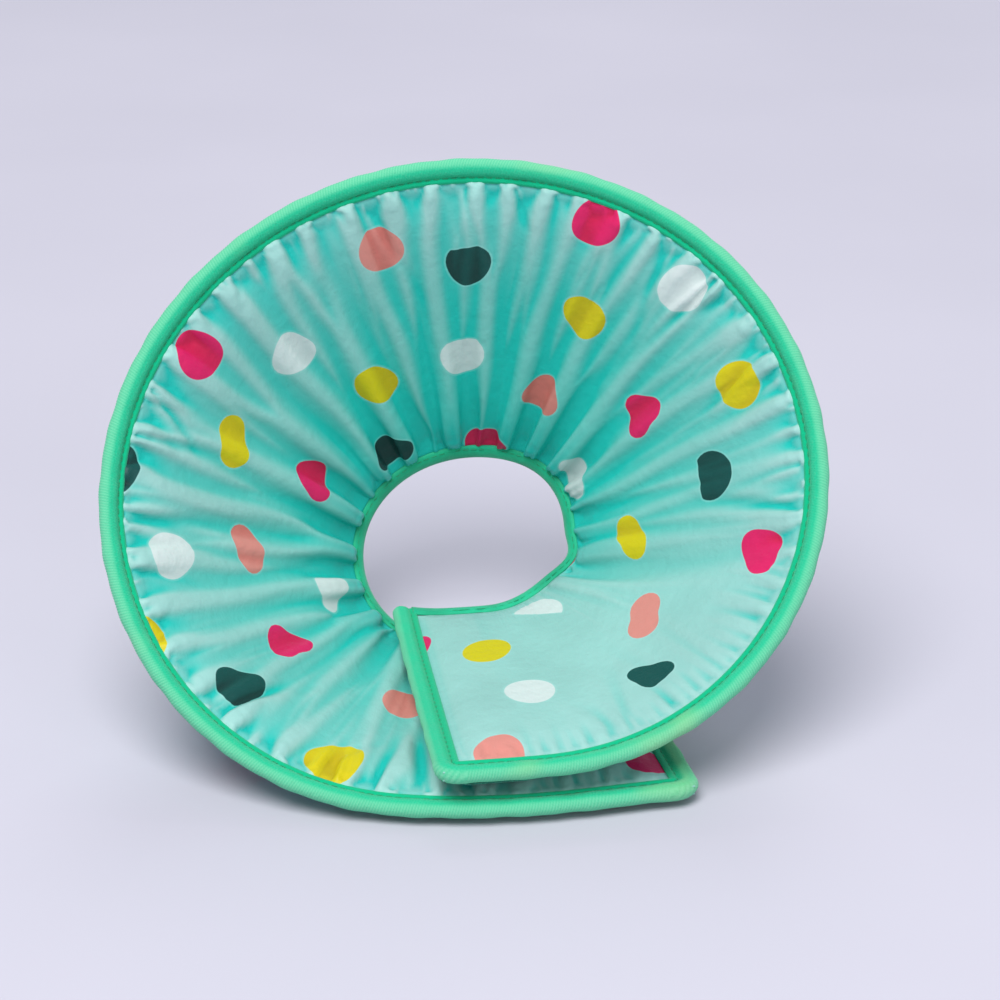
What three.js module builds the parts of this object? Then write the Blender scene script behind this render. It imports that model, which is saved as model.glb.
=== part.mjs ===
// Soft padded recovery collar (an elizabethan collar) for a cat or a small dog, lying on its side with
// its wide mouth towards -Y. Millimetres, +Z up. The origin is on the table plane, at the middle of the
// flat patch that the collar rests on.
//
// The collar is one flat pattern, a ring sector with a straight overlap tab at each end, rolled into a
// cone. A place on the pattern is given by its distance from the cone's apex (radius) and its angle round
// the pattern, which grows from the under end, round the arch, to the over end. Height is measured across
// the padding from its middle, and is positive on the inside of the cone.
import * as THREE from 'three';

// the pattern
const RIM_RADIUS = 171;
const NECK_RADIUS = 53;
const SECTOR_START = 11; // degrees
const SECTOR_END = 249;
const TAB = 33; // length of the overlap tab beyond each end of the sector

// how the pattern is rolled: the cone's curvature from each angle on, where 0 is flat
const BENDS = [
  { from: 30, curvature: 1.34 },
  { from: 102, curvature: 1.09 },
  { from: 193.5, curvature: 1.441 },
  { from: 248, curvature: 0 },
  { from: 262, curvature: 1.0 },
];
const BEND_SOFTNESS = 3; // degrees over which one curvature passes into the next
const UNDER_END_AZIMUTH = 22.6; // of the pattern's angle 0, from -Y towards +X
const REST_DISTANCE = 110; // from the apex to the origin
const OVER_END_LIFT = 12.8; // the over end lies this far above the under end
const LIFT_ANGLE = 165; // angle at which half of that lift is reached
const LIFT_SOFTNESS = 28;

// the padding, from the outside to the inside
const HALF_THICKNESS = 5;
const LAYERS = [
  { name: 'outer_cover', low: -5, high: -4, colour: 0x74c8bb, roughness: 0.45 },
  { name: 'foam_sheet', low: -3.7, high: -0.7, colour: 0xf0f0ec, roughness: 0.9 },
  { name: 'wadding', low: -0.4, high: 3.7, colour: 0xfafafa, roughness: 1.0 },
  { name: 'inner_cover', low: 4, high: 5, colour: 0x5fc6b6, roughness: 0.4 },
];

// the bindings fold over the edge: width from the edge, and the layers stop short of the fold
const RIM_TAPE = { width: 9, outer: 4.9, inner: 3.4, wall: 1.6, edgeGap: 3.4, squeeze: 3.0 };
const NECK_TAPE = { width: 5.4, outer: 3.9, inner: 2.9, wall: 1.0, edgeGap: 2.4, squeeze: 2.5 };
const TAPER = 8; // distance over which the squeezed edge swells to full thickness

// the hinge lines, as angles on the pattern, and the clearance where the sheet is divided at them
const HINGES = { left: 62, upper_left: 98, top: 140, flap: 207 };
const CUT = 0.4;
const STEP_ANGLE = 7; // of the facets
const END_STEPS = 6; // of the binding along a tab's end

// the hook strip under the over end, and the loop strip on the under end below it
const STRIP_THICKNESS = 0.9;
const CLEARANCE = 0.3;
const HOOK_STRIP = { side: 1, start: SECTOR_END, from: 2, to: 21, near: 72, far: 158 };
const LOOP_STRIP = { side: 1, start: 16, from: 0, to: 23, near: 70, far: 160 };

const rad = THREE.MathUtils.degToRad;
const softStep = (x, width) => 0.5 * (1 + Math.tanh(x / width));

function curvatureAt(angle) {
  let curvature = 0;
  let before = 0;
  for (const bend of BENDS) {
    curvature += (bend.curvature - before) * softStep(angle - bend.from, BEND_SOFTNESS);
    before = bend.curvature;
  }
  return curvature;
}

// The direction of each generator of the cone, with the sheet's sideways and inward directions there.
// One step of a degree turns the three directions by the sheet's own angle and by its curvature.
const FIRST_ANGLE = -45;
const LAST_ANGLE = 300;
const frames = [];
{
  const azimuth = rad(UNDER_END_AZIMUTH - FIRST_ANGLE);
  const along = new THREE.Vector3(Math.sin(azimuth), -Math.cos(azimuth), 0);
  const sideways = new THREE.Vector3(-Math.cos(azimuth), -Math.sin(azimuth), 0);
  const inward = new THREE.Vector3(0, 0, 1);
  for (let angle = FIRST_ANGLE; angle <= LAST_ANGLE; angle += 1) {
    frames.push({ along: along.clone(), sideways: sideways.clone(), inward: inward.clone() });
    const turn = inward.clone().negate();
    turn.addScaledVector(along, -curvatureAt(angle + 0.5));
    const amount = turn.length() * rad(1);
    turn.normalize();
    for (const direction of [along, sideways, inward]) direction.applyAxisAngle(turn, amount);
  }
}

function frameAt(angle) {
  const place = THREE.MathUtils.clamp(angle - FIRST_ANGLE, 0, frames.length - 1.001);
  const before = frames[Math.floor(place)];
  const after = frames[Math.floor(place) + 1];
  const mix = (key) => before[key].clone().lerp(after[key], place % 1).normalize();
  return { along: mix('along'), sideways: mix('sideways'), inward: mix('inward') };
}

function apexAt(angle) {
  const lift = OVER_END_LIFT * softStep(angle - LIFT_ANGLE, LIFT_SOFTNESS);
  return new THREE.Vector3(0, REST_DISTANCE, HALF_THICKNESS + lift);
}

// Rolls a place on the pattern: { radius, angle } and the height across the padding.
function roll(place, height, shift = 0) {
  const frame = frameAt(place.angle);
  const point = apexAt(place.angle);
  point.addScaledVector(frame.along, place.radius);
  point.addScaledVector(frame.inward, height);
  return point.addScaledVector(frame.sideways, shift);
}

// A place on a tab, from its distance out along the tab's root and its distance from it.
function tabPlace(start, side, out, across) {
  const angle = start + side * THREE.MathUtils.radToDeg(Math.atan2(across, out));
  return { radius: Math.hypot(out, across), angle };
}

// One closed solid from a row of closed outlines of equal length. cap lists the triangles that close one
// end, by the places of their corners on the outline.
function loft(outlines, cap) {
  const count = outlines[0].length;
  const positions = outlines.flat().flatMap((point) => point.toArray());
  const indices = [];
  for (let row = 0; row < outlines.length - 1; row += 1) {
    for (let i = 0; i < count; i += 1) {
      const here = row * count + i;
      const next = row * count + ((i + 1) % count);
      // both faces of a layer are divided along the same diagonal, so neighbouring layers stay parallel
      if (i < count / 2) indices.push(here, next, next + count, here, next + count, here + count);
      else indices.push(here, next, here + count, next, next + count, here + count);
    }
  }
  const last = (outlines.length - 1) * count;
  for (const [a, b, c] of cap) {
    indices.push(a, c, b, last + a, last + b, last + c);
  }
  const geometry = new THREE.BufferGeometry();
  geometry.setAttribute('position', new THREE.Float32BufferAttribute(positions, 3));
  geometry.setIndex(volume(positions, indices) < 0 ? indices.reverse() : indices);
  geometry.computeVertexNormals();
  return geometry;
}

// The end of a layer: its outline goes out along one face and back along the other.
function layerCap(count) {
  const triangles = [];
  for (let i = 0; i < count / 2 - 1; i += 1) {
    const across = count - 1 - i;
    triangles.push([i, i + 1, across], [i + 1, across - 1, across]);
  }
  return triangles;
}

function volume(positions, indices) {
  const point = (i) => new THREE.Vector3().fromArray(positions, 3 * indices[i]);
  let sum = 0;
  for (let i = 0; i < indices.length; i += 3) {
    sum += point(i).dot(point(i + 1).cross(point(i + 2)));
  }
  return sum;
}

// Each body of the collar is the stretch of the pattern between two lines. A line is a hinge, at one
// angle, or the end of a tab.
const BODIES = [
  { name: 'base', low: { tab: -1, start: SECTOR_START }, high: { hinge: HINGES.left } },
  { name: 'left_wing', low: { hinge: HINGES.left }, high: { hinge: HINGES.upper_left } },
  { name: 'crown', low: { hinge: HINGES.upper_left }, high: { hinge: HINGES.top } },
  { name: 'right_wing', low: { hinge: HINGES.top }, high: { hinge: HINGES.flap } },
  { name: 'flap', low: { hinge: HINGES.flap }, high: { tab: 1, start: SECTOR_END } },
];

// The stations along a body at one distance out from the apex: over the sector they follow a circle, and
// over a tab they run straight. inset keeps them clear of the end of a tab.
function stations(body, out, inset, insetSteps = [inset]) {
  const tabEnd = body.low.tab ? body.low : body.high.tab ? body.high : null;
  const low = body.low.tab ? body.low.start : body.low.hinge;
  const high = body.high.tab ? body.high.start : body.high.hinge;
  const steps = Math.max(2, Math.round((high - low) / STEP_ANGLE));
  const places = [];
  for (let i = 0; i <= steps; i += 1) {
    places.push({ radius: out, angle: low + ((high - low) * i) / steps, shift: 0 });
  }
  if (!body.low.tab) places[0].shift = CUT / 2;
  if (!body.high.tab) places[steps].shift = -CUT / 2;
  if (!tabEnd) return places;
  const onTab = [];
  for (const across of [TAB * 0.25, ...insetSteps.map((step) => TAB - step)]) {
    onTab.push({ ...tabPlace(tabEnd.start, tabEnd.tab, out, across), shift: 0 });
  }
  return body.low.tab ? [...onTab.reverse(), ...places] : [...places, ...onTab];
}

const edgeStations = (tape) => [tape.width + TAPER, tape.width + CLEARANCE, tape.edgeGap];

// How much the padding is squeezed at a place: 1 in the middle, less under the bindings.
function squeeze(rimDistance, neckDistance, endDistance) {
  const ramp = (distance, tape) => {
    const swell = THREE.MathUtils.clamp((distance - tape.width - CLEARANCE) / TAPER, 0, 1);
    return THREE.MathUtils.lerp(tape.squeeze / HALF_THICKNESS, 1, swell);
  };
  return Math.min(ramp(rimDistance, RIM_TAPE), ramp(neckDistance, NECK_TAPE), ramp(endDistance, RIM_TAPE));
}

// One layer of the padding in one body.
function layerGeometry(body, layer) {
  const neckSide = edgeStations(NECK_TAPE).reverse().map((distance) => NECK_RADIUS + distance);
  const rimSide = edgeStations(RIM_TAPE).map((distance) => RIM_RADIUS - distance);
  const middle = (neckSide.at(-1) + rimSide[0]) / 2;
  const outs = [...neckSide, middle, ...rimSide];
  const insets = edgeStations(RIM_TAPE);
  const rows = outs.map((out) => stations(body, out, RIM_TAPE.edgeGap, insets));
  const columns = rows[0].length;
  const outlines = [];
  for (let column = 0; column < columns; column += 1) {
    const fromEnd = body.low.tab ? column : columns - 1 - column;
    const onTab = body.low.tab || body.high.tab;
    const endDistance = onTab && fromEnd < insets.length ? insets.at(-1 - fromEnd) : TAB;
    const side = (height) =>
      rows.map((row, i) => {
        const rimDistance = RIM_RADIUS - outs[i];
        const neckDistance = outs[i] - NECK_RADIUS;
        const scale = squeeze(rimDistance, neckDistance, endDistance);
        return roll(row[column], height * scale, row[column].shift);
      });
    outlines.push([...side(layer.low), ...side(layer.high).reverse()]);
  }
  return loft(outlines, layerCap(2 * outs.length));
}

// A binding's section: distance from the edge, and height. It is a round fold, open towards the padding.
function tapeSection(tape) {
  const { width, outer, inner, wall } = tape;
  const fold = [
    [width, outer * 0.94],
    [width * 0.6, outer],
    [width * 0.24, outer * 0.84],
    [width * 0.05, outer * 0.45],
    [0, 0],
  ];
  const hollow = [
    [wall, inner * 0.4],
    [wall * 1.5, inner],
    [width, inner],
  ];
  const mirror = (points) => points.map(([distance, height]) => [distance, -height]).reverse();
  const points = [...fold, ...mirror(fold.slice(0, -1)), ...mirror(hollow), ...hollow];
  return points.map(([distance, height]) => new THREE.Vector2(distance, height));
}

// The rim binding of a body. On an end body it turns the corner and runs along the end to the neck.
function rimBindingGeometry(body) {
  const section = tapeSection(RIM_TAPE);
  const tabEnd = body.low.tab ? body.low : body.high.tab ? body.high : null;
  const paths = section.map(({ x: inset, y: height }) => {
    let places = stations(body, RIM_RADIUS - inset, inset);
    if (tabEnd) {
      const across = TAB - inset;
      const farOut = RIM_RADIUS - inset;
      const endPlaces = [];
      for (let i = 1; i <= END_STEPS; i += 1) {
        const out = THREE.MathUtils.lerp(farOut, NECK_RADIUS, i / END_STEPS);
        endPlaces.push({ ...tabPlace(tabEnd.start, tabEnd.tab, out, across), shift: 0 });
      }
      places = body.low.tab ? [...endPlaces.reverse(), ...places] : [...places, ...endPlaces];
    }
    return places.map((place) => roll(place, height, place.shift));
  });
  const outlines = paths[0].map((_, row) => paths.map((path) => path[row]));
  return loft(outlines, THREE.ShapeUtils.triangulateShape(section, []));
}

// The neck binding of a body. It stops beside the binding of an end.
function neckBindingGeometry(body) {
  const section = tapeSection(NECK_TAPE);
  const paths = section.map(({ x: inset, y: height }) =>
    stations(body, NECK_RADIUS + inset, RIM_TAPE.width + CLEARANCE).map((place) =>
      roll(place, height, place.shift),
    ),
  );
  const outlines = paths[0].map((_, row) => paths.map((path) => path[row]));
  return loft(outlines, THREE.ShapeUtils.triangulateShape(section, []));
}

// A flat strip sewn on one face of the padding, parallel to a tab's end.
function stripGeometry(strip, lowHeight, highHeight) {
  const rows = 9;
  const columns = 5;
  const outlines = [];
  for (let i = 0; i <= rows; i += 1) {
    const out = THREE.MathUtils.lerp(strip.near, strip.far, i / rows);
    const side = (height) => {
      const points = [];
      for (let j = 0; j <= columns; j += 1) {
        const across = THREE.MathUtils.lerp(strip.from, strip.to, j / columns);
        points.push(roll(tabPlace(strip.start, strip.side, out, across), height));
      }
      return points;
    };
    outlines.push([...side(lowHeight), ...side(highHeight).reverse()]);
  }
  return loft(outlines, layerCap(2 * columns + 2));
}

function hookStripGeometry() {
  const top = -HALF_THICKNESS - CLEARANCE;
  return stripGeometry(HOOK_STRIP, top - STRIP_THICKNESS, top);
}

function loopStripGeometry() {
  const bottom = HALF_THICKNESS + CLEARANCE;
  return stripGeometry(LOOP_STRIP, bottom, bottom + STRIP_THICKNESS);
}

function named(name, geometry, color, roughness) {
  const material = new THREE.MeshStandardMaterial({ color, roughness, metalness: 0 });
  const mesh = new THREE.Mesh(geometry, material);
  mesh.name = name;
  return mesh;
}

function bodyGroup(body) {
  const group = new THREE.Group();
  for (const layer of LAYERS) {
    const geometry = layerGeometry(body, layer);
    group.add(named(`${layer.name}_${body.name}`, geometry, layer.colour, layer.roughness));
  }
  group.add(named(`rim_binding_${body.name}`, rimBindingGeometry(body), 0x5fdca2, 0.9));
  group.add(named(`neck_binding_${body.name}`, neckBindingGeometry(body), 0x22bb84, 0.8));
  return group;
}

const collar = new THREE.Group();
for (const body of BODIES) collar.add(bodyGroup(body));
collar.add(named('hook_strip', hookStripGeometry(), 0x4fbfa4, 0.95));
collar.add(named('loop_strip', loopStripGeometry(), 0x4fbfa4, 1.0));

export default collar;
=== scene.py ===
"""The looks of a soft padded recovery collar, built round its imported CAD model. Metres, +Z up.

The collar is one flat pattern, a ring sector with a straight tab at each end, rolled into a cone. A place
on the pattern is given by out, its distance from the centre of the pattern's rings, and by its column: an
angle on the sector, and beyond the sector's ends a signed length across the tab. Height is measured across
the padding from its middle, and is positive on the inside of the cone.
"""
import math

import bpy
import numpy as np
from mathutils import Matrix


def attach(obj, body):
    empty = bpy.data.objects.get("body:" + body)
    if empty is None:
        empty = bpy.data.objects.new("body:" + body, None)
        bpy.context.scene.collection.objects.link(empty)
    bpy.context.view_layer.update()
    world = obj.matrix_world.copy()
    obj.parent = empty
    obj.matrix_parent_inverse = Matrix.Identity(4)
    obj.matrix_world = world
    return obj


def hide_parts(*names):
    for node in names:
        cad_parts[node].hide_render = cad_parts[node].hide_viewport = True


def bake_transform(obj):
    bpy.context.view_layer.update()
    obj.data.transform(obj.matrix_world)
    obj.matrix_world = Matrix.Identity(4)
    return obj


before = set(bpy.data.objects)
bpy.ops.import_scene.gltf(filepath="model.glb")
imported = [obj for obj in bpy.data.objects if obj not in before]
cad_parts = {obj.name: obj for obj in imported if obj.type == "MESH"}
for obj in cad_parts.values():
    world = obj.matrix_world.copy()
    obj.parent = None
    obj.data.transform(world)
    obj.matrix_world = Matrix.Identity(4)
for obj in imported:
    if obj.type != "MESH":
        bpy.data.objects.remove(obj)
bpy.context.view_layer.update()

MM = 0.001

# the pattern and the cone, as in the CAD model
RIM_RADIUS = 0.171
NECK_RADIUS = 0.053
SECTOR_START, SECTOR_END = 11.0, 249.0
TAB = 0.033
REST_DISTANCE = 0.110
HALF_THICKNESS = 0.005
OVER_END_LIFT, LIFT_ANGLE, LIFT_SOFTNESS = 0.0128, 165.0, 28.0
BENDS = ((30, 1.34), (102, 1.09), (193.5, 1.441), (248, 0.0), (262, 1.0))
BEND_SOFTNESS = 3.0
UNDER_END_AZIMUTH = 22.6
FIRST_ANGLE, LAST_ANGLE = -45, 300
# the under end's tab is cut this much longer than the over end's
UNDER_TAB_STRETCH = 1.18

# the soft corner in the neck's edge at the fold between the side and the flap
CORNER_ANGLE, CORNER_OUT, CHORD_IN, CORNER_FADE = 211.5, 0.0044, 0.0012, 0.040

# the bindings
RIM_TAPE_WIDTH = 0.0090
NECK_TAPE_WIDTH = 0.0050
CORNER_RADIUS = 0.009
RIB_PITCH = 0.0009

# the fastening strips: the angle they start from, and in millimetres their nearest and farthest place
# across from it and out from the centre
LOOP_STRIP = (16.0, 0, 23, 70, 160)
HOOK_STRIP = (249.0, 2, 21, 72, 158)

# the joints' bodies, and the angles of the hinge lines between them
BODIES = ("base", "left_wing", "crown", "right_wing", "flap")
HINGES = (62.0, 98.0, 140.0, 207.0)
# each piece of cloth spans one hinge line, and meets the next piece midway between two of them
CUTS = (80.0, 119.0, 173.5)
STRETCHES = ("under", "left", "top", "over")

RNG = np.random.default_rng(20)


# ---------------------------------------------------------------- the cone

def soft_step(x, width):
    """Rises from 0 to 1 round x = 0."""
    return 0.5 * (1 + np.tanh(x / width))


def smooth_ramp(x):
    """0 up to x = 0, 1 from x = 1, and smooth between them."""
    x = np.clip(x, 0, 1)
    return x * x * (3 - 2 * x)


def curvature_at(angle):
    """How sharply the cone is rolled at an angle of the pattern."""
    before = 0.0
    total = 0.0
    for start, value in BENDS:
        total += (value - before) * soft_step(angle - start, BEND_SOFTNESS)
        before = value
    return total


def turned(vectors, axis, amount):
    """The vectors turned about axis by amount radians."""
    cosine, sine = math.cos(amount), math.sin(amount)
    return [v * cosine + np.cross(axis, v) * sine + axis * np.dot(axis, v) * (1 - cosine) for v in vectors]


def cone_frames():
    """The along, sideways and inward directions at each degree of the pattern."""
    azimuth = math.radians(UNDER_END_AZIMUTH - FIRST_ANGLE)
    vectors = [
        np.array((math.sin(azimuth), -math.cos(azimuth), 0.0)),
        np.array((-math.cos(azimuth), -math.sin(azimuth), 0.0)),
        np.array((0.0, 0.0, 1.0)),
    ]
    rows = []
    for angle in range(FIRST_ANGLE, LAST_ANGLE + 1):
        rows.append(np.concatenate(vectors))
        turn = -vectors[2] - curvature_at(angle + 0.5) * vectors[0]
        size = np.linalg.norm(turn)
        vectors = turned(vectors, turn / size, size * math.radians(1))
    return np.array(rows)


FRAMES = cone_frames()
DEGREES = np.arange(FIRST_ANGLE, LAST_ANGLE + 1)


def directions(angle):
    """The along, sideways and inward directions at each angle."""
    mixed = [np.interp(angle, DEGREES, FRAMES[:, i]) for i in range(9)]
    found = []
    for first in (0, 3, 6):
        vector = np.stack(mixed[first:first + 3], axis=-1)
        found.append(vector / np.linalg.norm(vector, axis=-1, keepdims=True))
    return found


def corner_shift(radius, angle):
    """How far the neck's edge lies from its circle: out where the flap folds down, and in along the flap."""
    fade = 1 - smooth_ramp((radius - NECK_RADIUS) / CORNER_FADE)
    corner = np.exp(-((angle - CORNER_ANGLE) / 7.0) ** 2)
    chord = np.exp(-((angle - CORNER_ANGLE - 20.0) / 13.0) ** 2)
    return fade * (CORNER_OUT * corner - CHORD_IN * chord)


def roll(radius, angle, height):
    """Points on the cone from places on the flat pattern and heights across the padding."""
    radius, angle, height = np.broadcast_arrays(radius, angle, height)
    radius = radius + corner_shift(radius, angle)
    along, _, inward = directions(angle)
    lift = OVER_END_LIFT * soft_step(angle - LIFT_ANGLE, LIFT_SOFTNESS)
    points = along * radius[..., None] + inward * height[..., None]
    points[..., 1] += REST_DISTANCE
    points[..., 2] += HALF_THICKNESS + lift
    return points


def pattern_place(out, angle, across):
    """Radius and angle of a place whose column is an angle and a signed length across a tab."""
    across = np.where(np.asarray(across) < 0, UNDER_TAB_STRETCH * across, across)
    return np.hypot(out, across), angle + np.degrees(np.arctan2(across, out))


def flat_uv(radius, angle):
    """The place on the flat pattern."""
    heading = np.radians(angle)
    return np.stack((radius * np.cos(heading), radius * np.sin(heading)), axis=-1)


def columns(step, end_inset):
    """Angles, and lengths across the tabs, of columns that run from the under end to the over end."""
    reach = TAB - end_inset
    tab_steps = max(2, round(reach / step))
    across = np.linspace(0, reach, tab_steps + 1)[1:]
    marks = [SECTOR_START, *CUTS, SECTOR_END]
    angles = []
    for low, high in zip(marks, marks[1:]):
        steps = round(math.radians(high - low) * RIM_RADIUS / step)
        angles.append(np.linspace(low, high, steps + 1)[:-1])
    sector = np.append(np.concatenate(angles), SECTOR_END)
    angle = np.concatenate((np.full(tab_steps, SECTOR_START), sector, np.full(tab_steps, SECTOR_END)))
    signed = np.concatenate((-across[::-1], np.zeros(len(sector)), across))
    return angle, signed


def stretch_ranges(angle):
    """First and last column of each stretch of cloth."""
    cuts = [int(np.argmin(np.abs(angle - cut))) for cut in CUTS]
    return list(zip([0, *cuts], [*cuts, len(angle) - 1]))


# ---------------------------------------------------------------- meshes

def smooth_normals(points):
    """Normals of a grid of points whose rows are closed loops."""
    along = np.gradient(points, axis=0)
    around = np.roll(points, -1, axis=1) - np.roll(points, 1, axis=1)
    normals = np.cross(around, along)
    return normals / np.maximum(np.linalg.norm(normals, axis=-1, keepdims=True), 1e-12)


def ladder_cap(count):
    """Faces that close a loop which goes out along one side of a sheet and back along the other."""
    return [(i, i + 1, count - 2 - i, count - 1 - i) for i in range(count // 2 - 1)]


def signed_volume(points, faces):
    """Six times the volume inside closed faces, which is positive if they face outwards."""
    corners = points[faces] - points.mean(axis=0)
    total = np.einsum("ij,ij->", corners[:, 0], np.cross(corners[:, 1], corners[:, 2]))
    return total + np.einsum("ij,ij->", corners[:, 0], np.cross(corners[:, 2], corners[:, 3]))


def new_mesh(name, points, faces, uv):
    """A smooth mesh with its place on the pattern, and the point of each of its corners."""
    mesh = bpy.data.meshes.new(name)
    mesh.from_pydata(points.tolist(), [], faces)
    vertex = np.empty(len(mesh.loops), dtype=np.int32)
    mesh.loops.foreach_get("vertex_index", vertex)
    layer = mesh.uv_layers.new(name="Pattern")
    layer.data.foreach_set("uv", uv.reshape(-1, 2)[vertex].astype(np.float32).ravel())
    mesh.shade_smooth()
    return mesh, vertex


def new_piece(name, data):
    """An object in the scene."""
    piece = bpy.data.objects.new(name, data)
    bpy.context.scene.collection.objects.link(piece)
    return piece


def loft(name, points, normals, uv, cap, attributes):
    """A closed mesh from a grid of columns whose rows are loops, with its own normals and attributes."""
    count, around = points.shape[:2]
    index = np.arange(count * around).reshape(count, around)
    after = np.roll(index, -1, axis=1)
    quads = np.stack((index[:-1], after[:-1], after[1:], index[1:]), axis=-1).reshape(-1, 4)
    last = (count - 1) * around
    caps = [list(face[::-1]) for face in cap] + [[i + last for i in face] for face in cap]
    flat = points.reshape(-1, 3)
    outward = signed_volume(flat, quads) > 0
    if not outward:
        quads = quads[:, ::-1]
        caps = [face[::-1] for face in caps]
    mesh, vertex = new_mesh(name, flat, [*quads.tolist(), *caps], uv)
    for key, values in attributes.items():
        if values.ndim == 3:
            layer = mesh.color_attributes.new(key, "FLOAT_COLOR", "POINT")
            layer.data.foreach_set("color", values.astype(np.float32).ravel())
        else:
            layer = mesh.attributes.new(key, "FLOAT", "POINT")
            layer.data.foreach_set("value", values.astype(np.float32).ravel())
    flat_normals = np.empty(3 * len(mesh.polygons))
    mesh.polygons.foreach_get("normal", flat_normals)
    chosen = normals.reshape(-1, 3)[vertex] * (1 if outward else -1)
    chosen[4 * len(quads):] = np.repeat(
        flat_normals.reshape(-1, 3)[len(quads):], [len(face) for face in caps], axis=0
    )
    mesh.normals_split_custom_set(chosen.tolist())
    return new_piece(name, mesh)


def bend_over_hinge(piece, number):
    """Bakes a piece's transform into its mesh. The point it finds in the middle of the numbered stretch's
    hinge line is not used.
    """
    hinge = HINGES[number]
    middle = (RIM_RADIUS + NECK_RADIUS) / 2
    height = HALF_THICKNESS if number == 3 else -HALF_THICKNESS
    centre = roll(np.array(middle), np.array(hinge), np.array(height))
    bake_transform(piece)


def finish_stretch(piece, number, material, node_kind):
    """Gives one stretch its material, bakes its transform, and hides the CAD solids it stands for."""
    piece.data.materials.append(material)
    bend_over_hinge(piece, number)
    replaced = BODIES[number:number + 2] if number == 3 else BODIES[number:number + 1]
    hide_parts(*[f"{node_kind}_{body}" for body in replaced])


def loft_stretches(kind, points, uv, angle, cap, attributes, material):
    """The four pieces of one continuous layer or tape."""
    normals = smooth_normals(points)
    pieces = []
    for number, (first, last) in enumerate(stretch_ranges(angle)):
        part = slice(first, last + 1)
        here = {key: values[part] for key, values in attributes.items()}
        name = f"{kind}_{STRETCHES[number]}"
        piece = loft(name, points[part], normals[part], uv[part], cap, here)
        finish_stretch(piece, number, material, kind)
        pieces.append(piece)
    return pieces


# ---------------------------------------------------------------- node materials

class Nodes:
    """Short calls for building a material's nodes."""

    def __init__(self, name):
        """Starts a material."""
        self.material = bpy.data.materials.new(name)
        self.material.use_nodes = True
        self.tree = self.material.node_tree
        self.shader = self.tree.nodes["Principled BSDF"]

    def put(self, socket, value):
        """Links a socket's value to the socket, or sets a plain value."""
        if isinstance(value, bpy.types.NodeSocket):
            self.tree.links.new(value, socket)
        else:
            socket.default_value = value

    def node(self, kind, settings=None, **inputs):
        """A new node with its settings and inputs. An underscore stands for a space in an input's name."""
        node = self.tree.nodes.new(kind)
        for key, value in (settings or {}).items():
            setattr(node, key, value)
        for key, value in inputs.items():
            self.put(node.inputs[key.replace("_", " ")], value)
        return node

    def math(self, operation, a, b):
        """The result of one operation on two values."""
        node = self.node("ShaderNodeMath", {"operation": operation})
        self.put(node.inputs[0], a)
        self.put(node.inputs[1], b)
        return node.outputs[0]

    def ramp(self, value, from_low, from_high, to_low=0.0, to_high=1.0):
        """A smooth step from to_low to to_high while value goes from from_low to from_high."""
        ends = {"From_Min": from_low, "From_Max": from_high, "To_Min": to_low, "To_Max": to_high}
        node = self.node("ShaderNodeMapRange", {"interpolation_type": "SMOOTHSTEP"}, Value=value, **ends)
        return node.outputs["Result"]

    def mix(self, factor, a, b, blend="MIX"):
        """Colour a with factor of colour b over it."""
        settings = {"data_type": "RGBA", "blend_type": blend}
        return self.node("ShaderNodeMix", settings, Factor=factor, A=a, B=b).outputs["Result"]

    def attribute(self, name, output):
        """One output of a mesh attribute."""
        return self.node("ShaderNodeAttribute", {"attribute_name": name}).outputs[output]

    def scaled(self, vector, scale):
        """A place multiplied by scale."""
        return self.node("ShaderNodeMapping", Vector=vector, Scale=(scale, scale, scale)).outputs["Vector"]

    def pattern(self, scale=1000.0):
        """The place on the flat pattern, in millimetres by default."""
        return self.scaled(self.node("ShaderNodeUVMap", {"uv_map": "Pattern"}).outputs["UV"], scale)

    def place(self, scale=1000.0):
        """The place in the row frame, in millimetres by default."""
        return self.scaled(self.node("ShaderNodeTexCoord").outputs["Object"], scale)

    def noise(self, vector, scale, detail=2.0, roughness=0.5):
        """Soft noise, from 0 to 1."""
        node = self.node("ShaderNodeTexNoise", Vector=vector, Scale=scale, Detail=detail, Roughness=roughness)
        return node.outputs["Fac"]

    def cells(self, vector, scale, randomness=1.0):
        """The distance to the middle of the nearest cell."""
        node = self.node("ShaderNodeTexVoronoi", Vector=vector, Scale=scale, Randomness=randomness)
        return node.outputs["Distance"]

    def wave(self, vector, pitch, direction, distortion):
        """Parallel threads pitch apart. The wave texture has one cycle in pi / 10 of its scaled length."""
        settings = {"wave_type": "BANDS", "bands_direction": direction, "wave_profile": "SIN"}
        scale = math.pi / 10 / pitch
        node = self.node("ShaderNodeTexWave", settings, Vector=vector, Scale=scale, Distortion=distortion)
        return node.outputs["Fac"]

    def bump(self, height, distance, strength, **normal):
        """A surface direction disturbed by height, on top of an earlier Normal if one is given."""
        node = self.node("ShaderNodeBump", Strength=strength, Distance=distance, Height=height, **normal)
        return node.outputs["Normal"]

    def finish(self, **sockets):
        """The finished material, with the shader's sockets given by name."""
        for key, value in sockets.items():
            self.put(self.shader.inputs[key.replace("_", " ")], value)
        return self.material


def shade(colour, amount):
    """The colour made lighter or darker."""
    return (*[min(1.0, channel * amount) for channel in colour[:3]], 1.0)


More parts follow.
